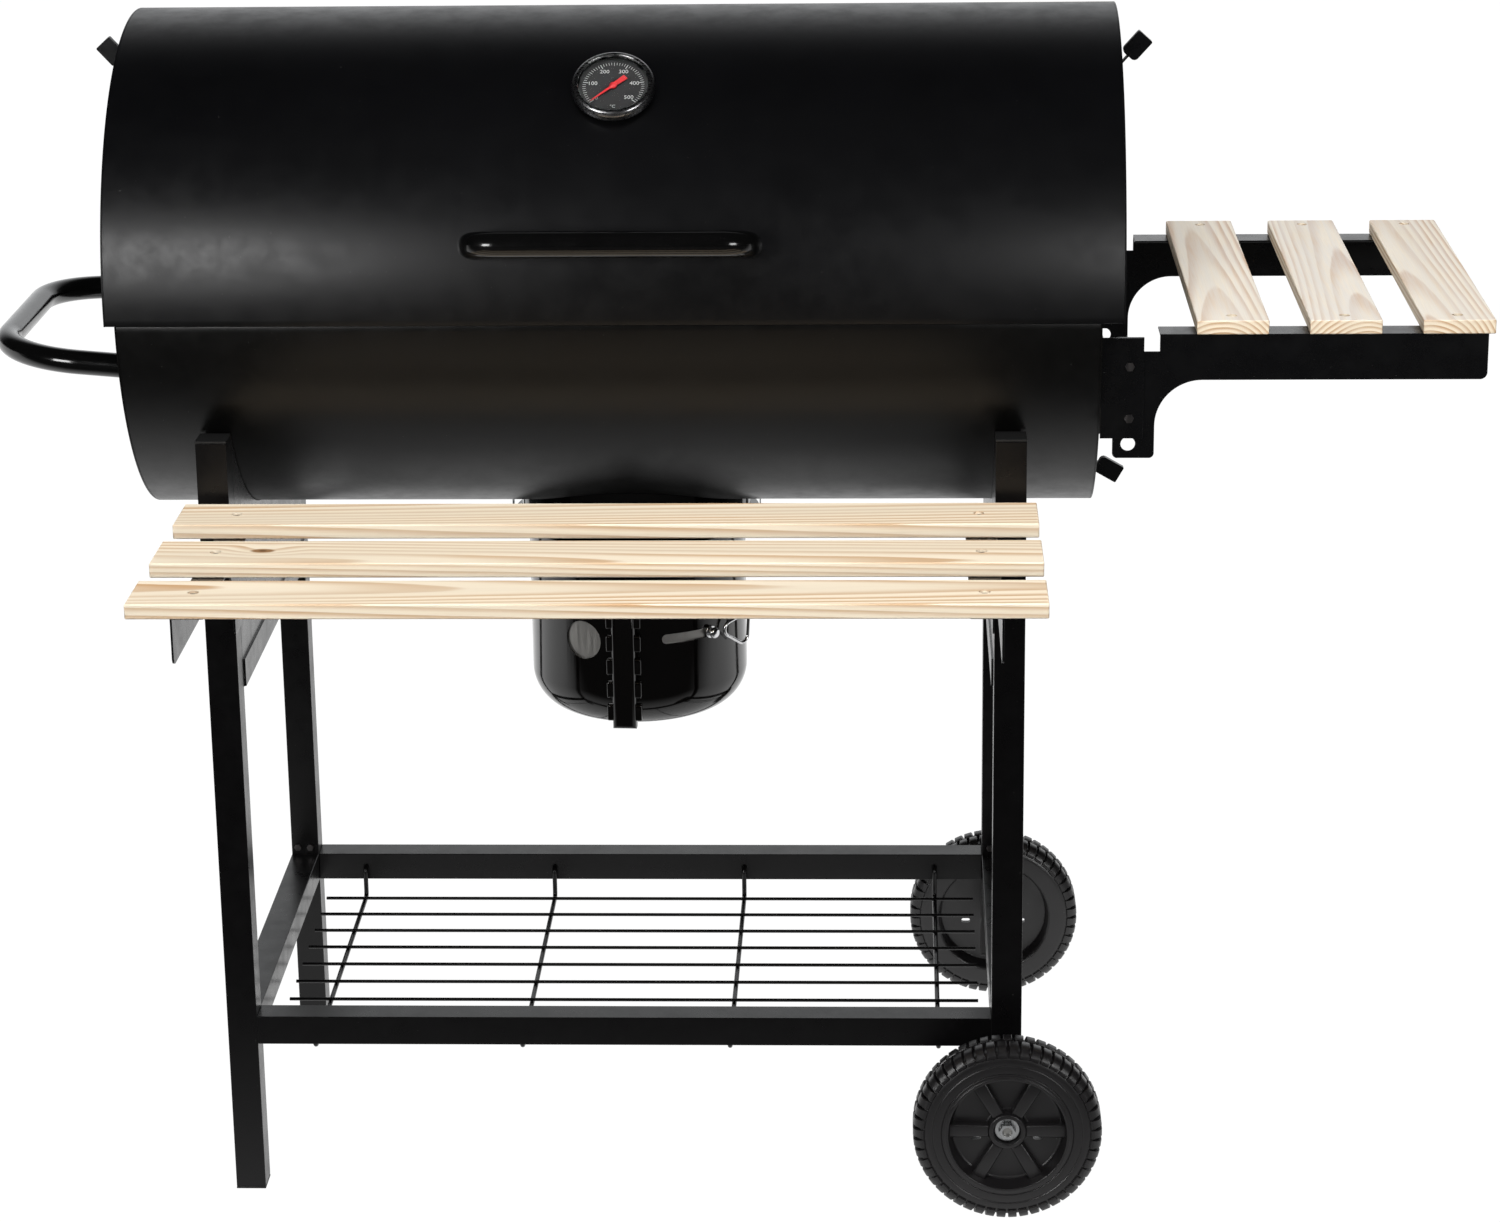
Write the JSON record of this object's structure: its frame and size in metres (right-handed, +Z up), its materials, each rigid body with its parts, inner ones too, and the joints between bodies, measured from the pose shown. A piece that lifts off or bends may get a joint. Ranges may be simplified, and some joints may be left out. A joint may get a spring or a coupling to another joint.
{
  "type": "barrel charcoal smoker",
  "caption": "Barrel charcoal smoker on a wheeled cart: hinged lid, thermometer, turning dampers, slatted wooden shelves, ash pot with sliding vent and wire rack.",
  "frame": {"origin": "centre of the overall box, on the floor", "axes": "+Z up, -Y towards the front where the lid handle and long shelf are, +X along the barrel towards the side shelf"},
  "size_m": [1.464, 0.887, 1.169],
  "materials": {
    "black_coat": "satin heat-proof powder coat on sheet and tube steel",
    "gloss_enamel": "deep gloss black enamel",
    "bright_steel": "bright plated steel",
    "raw_steel": "plain grey steel",
    "fastener_steel": "blackened steel screws and rivets",
    "pine": "planed pine, clear and unpainted",
    "pale_pine": "planed pine gone pale grey",
    "cap_plastic": "moulded caps",
    "wheel_plastic": "moulded black plastic",
    "dial_black": "matt printed dial",
    "needle_red": "red paint",
    "glass": "clear glass"
  },
  "bodies": {
    "cart": {"body_shell": "black_coat", "body_end_left": "black_coat", "body_end_right": "black_coat", "grate_ledges": "black_coat", "cooking_grate_left": "bright_steel", "cooking_grate_right": "bright_steel", "charcoal_grate": "raw_steel", "pot_collar": "gloss_enamel", "hinge_body_leaves": "black_coat", "side_handle": "gloss_enamel", "leg_front_left": "black_coat", "leg_front_right": "black_coat", "leg_rear_left": "black_coat", "leg_rear_right": "black_coat", "leg_caps": "cap_plastic", "cradle_left": "black_coat", "cradle_right": "black_coat", "rail_front": "black_coat", "rail_rear": "black_coat", "rail_left": "black_coat", "rail_right": "black_coat", "wire_rack": "black_coat", "axle": "bright_steel", "axle_nuts": "bright_steel", "shelf_arm_left": "black_coat", "shelf_arm_right": "black_coat", "front_slat_1": "pine", "front_slat_2": "pine", "front_slat_3": "pine", "shelf_angles": "black_coat", "side_bracket_front": "black_coat", "side_bracket_rear": "black_coat", "side_slat_1": "pale_pine", "side_slat_2": "pale_pine", "side_slat_3": "pale_pine", "body_fasteners": "fastener_steel", "frame_bolts": "fastener_steel", "shelf_screws": "fastener_steel"},
    "lid": {"lid_shell": "black_coat", "lid_end_left": "black_coat", "lid_end_right": "black_coat", "lid_handle": "gloss_enamel", "thermometer_case": "bright_steel", "thermometer_dial": "dial_black", "thermometer_glass": "glass", "hinge_lid_leaves": "black_coat", "lid_fasteners": "fastener_steel"},
    "needle": {"thermometer_needle": "needle_red"},
    "lid_damper_left": {"lid_damper_left": "black_coat"},
    "lid_damper_right": {"lid_damper_right": "black_coat"},
    "body_damper_left": {"body_damper_left": "black_coat"},
    "body_damper_right": {"body_damper_right": "black_coat"},
    "pot": {"ash_pot": "gloss_enamel", "pot_grip": "gloss_enamel", "pot_clips": "bright_steel", "pot_screws": "fastener_steel"},
    "vent_ring": {"vent_ring": "raw_steel", "vent_pull": "bright_steel"},
    "front_wheel": {"wheel_front": "wheel_plastic"},
    "rear_wheel": {"wheel_rear": "wheel_plastic"}
  },
  "joints": [
    {"name": "lid_hinge", "type": "hinge", "parent": "cart", "child": "lid", "pos_m": [-0.111, 0.3935, 0.9065], "axis": [-1, 0, 0], "range_deg": [0, 90]},
    {"name": "lid_damper_left_turn", "type": "hinge", "parent": "lid", "child": "lid_damper_left", "pos_m": [-0.591, 0.1365, 1.082], "axis": [1, 0, 0], "range_deg": [-45, 45]},
    {"name": "lid_damper_right_turn", "type": "hinge", "parent": "lid", "child": "lid_damper_right", "pos_m": [0.381, 0.1365, 1.082], "axis": [1, 0, 0], "range_deg": [-45, 45]},
    {"name": "body_damper_left_turn", "type": "hinge", "parent": "cart", "child": "body_damper_left", "pos_m": [-0.582, 0.1365, 0.754], "axis": [1, 0, 0], "range_deg": [-45, 45]},
    {"name": "body_damper_right_turn", "type": "hinge", "parent": "cart", "child": "body_damper_right", "pos_m": [0.36, 0.1365, 0.754], "axis": [1, 0, 0], "range_deg": [-45, 45]},
    {"name": "needle_turn", "type": "hinge", "parent": "lid", "child": "needle", "pos_m": [-0.105, -0.02586, 1.1205], "axis": [0, -0.6293, 0.7771], "range_deg": [-270, 0]},
    {"name": "pot_slide", "type": "slide", "parent": "cart", "child": "pot", "axis": [0, 0, -1], "range_m": [0, 0.12]},
    {"name": "vent_ring_turn", "type": "hinge", "parent": "pot", "child": "vent_ring", "pos_m": [-0.102, 0.1365, 0.544], "axis": [0, 0, 1], "range_deg": [-24, 0]},
    {"name": "front_wheel_spin", "type": "hinge", "parent": "cart", "child": "front_wheel", "pos_m": [0.274, -0.1485, 0.094], "axis": [0, 1, 0], "continuous": true},
    {"name": "rear_wheel_spin", "type": "hinge", "parent": "cart", "child": "rear_wheel", "pos_m": [0.274, 0.4215, 0.094], "axis": [0, 1, 0], "continuous": true}
  ]
}
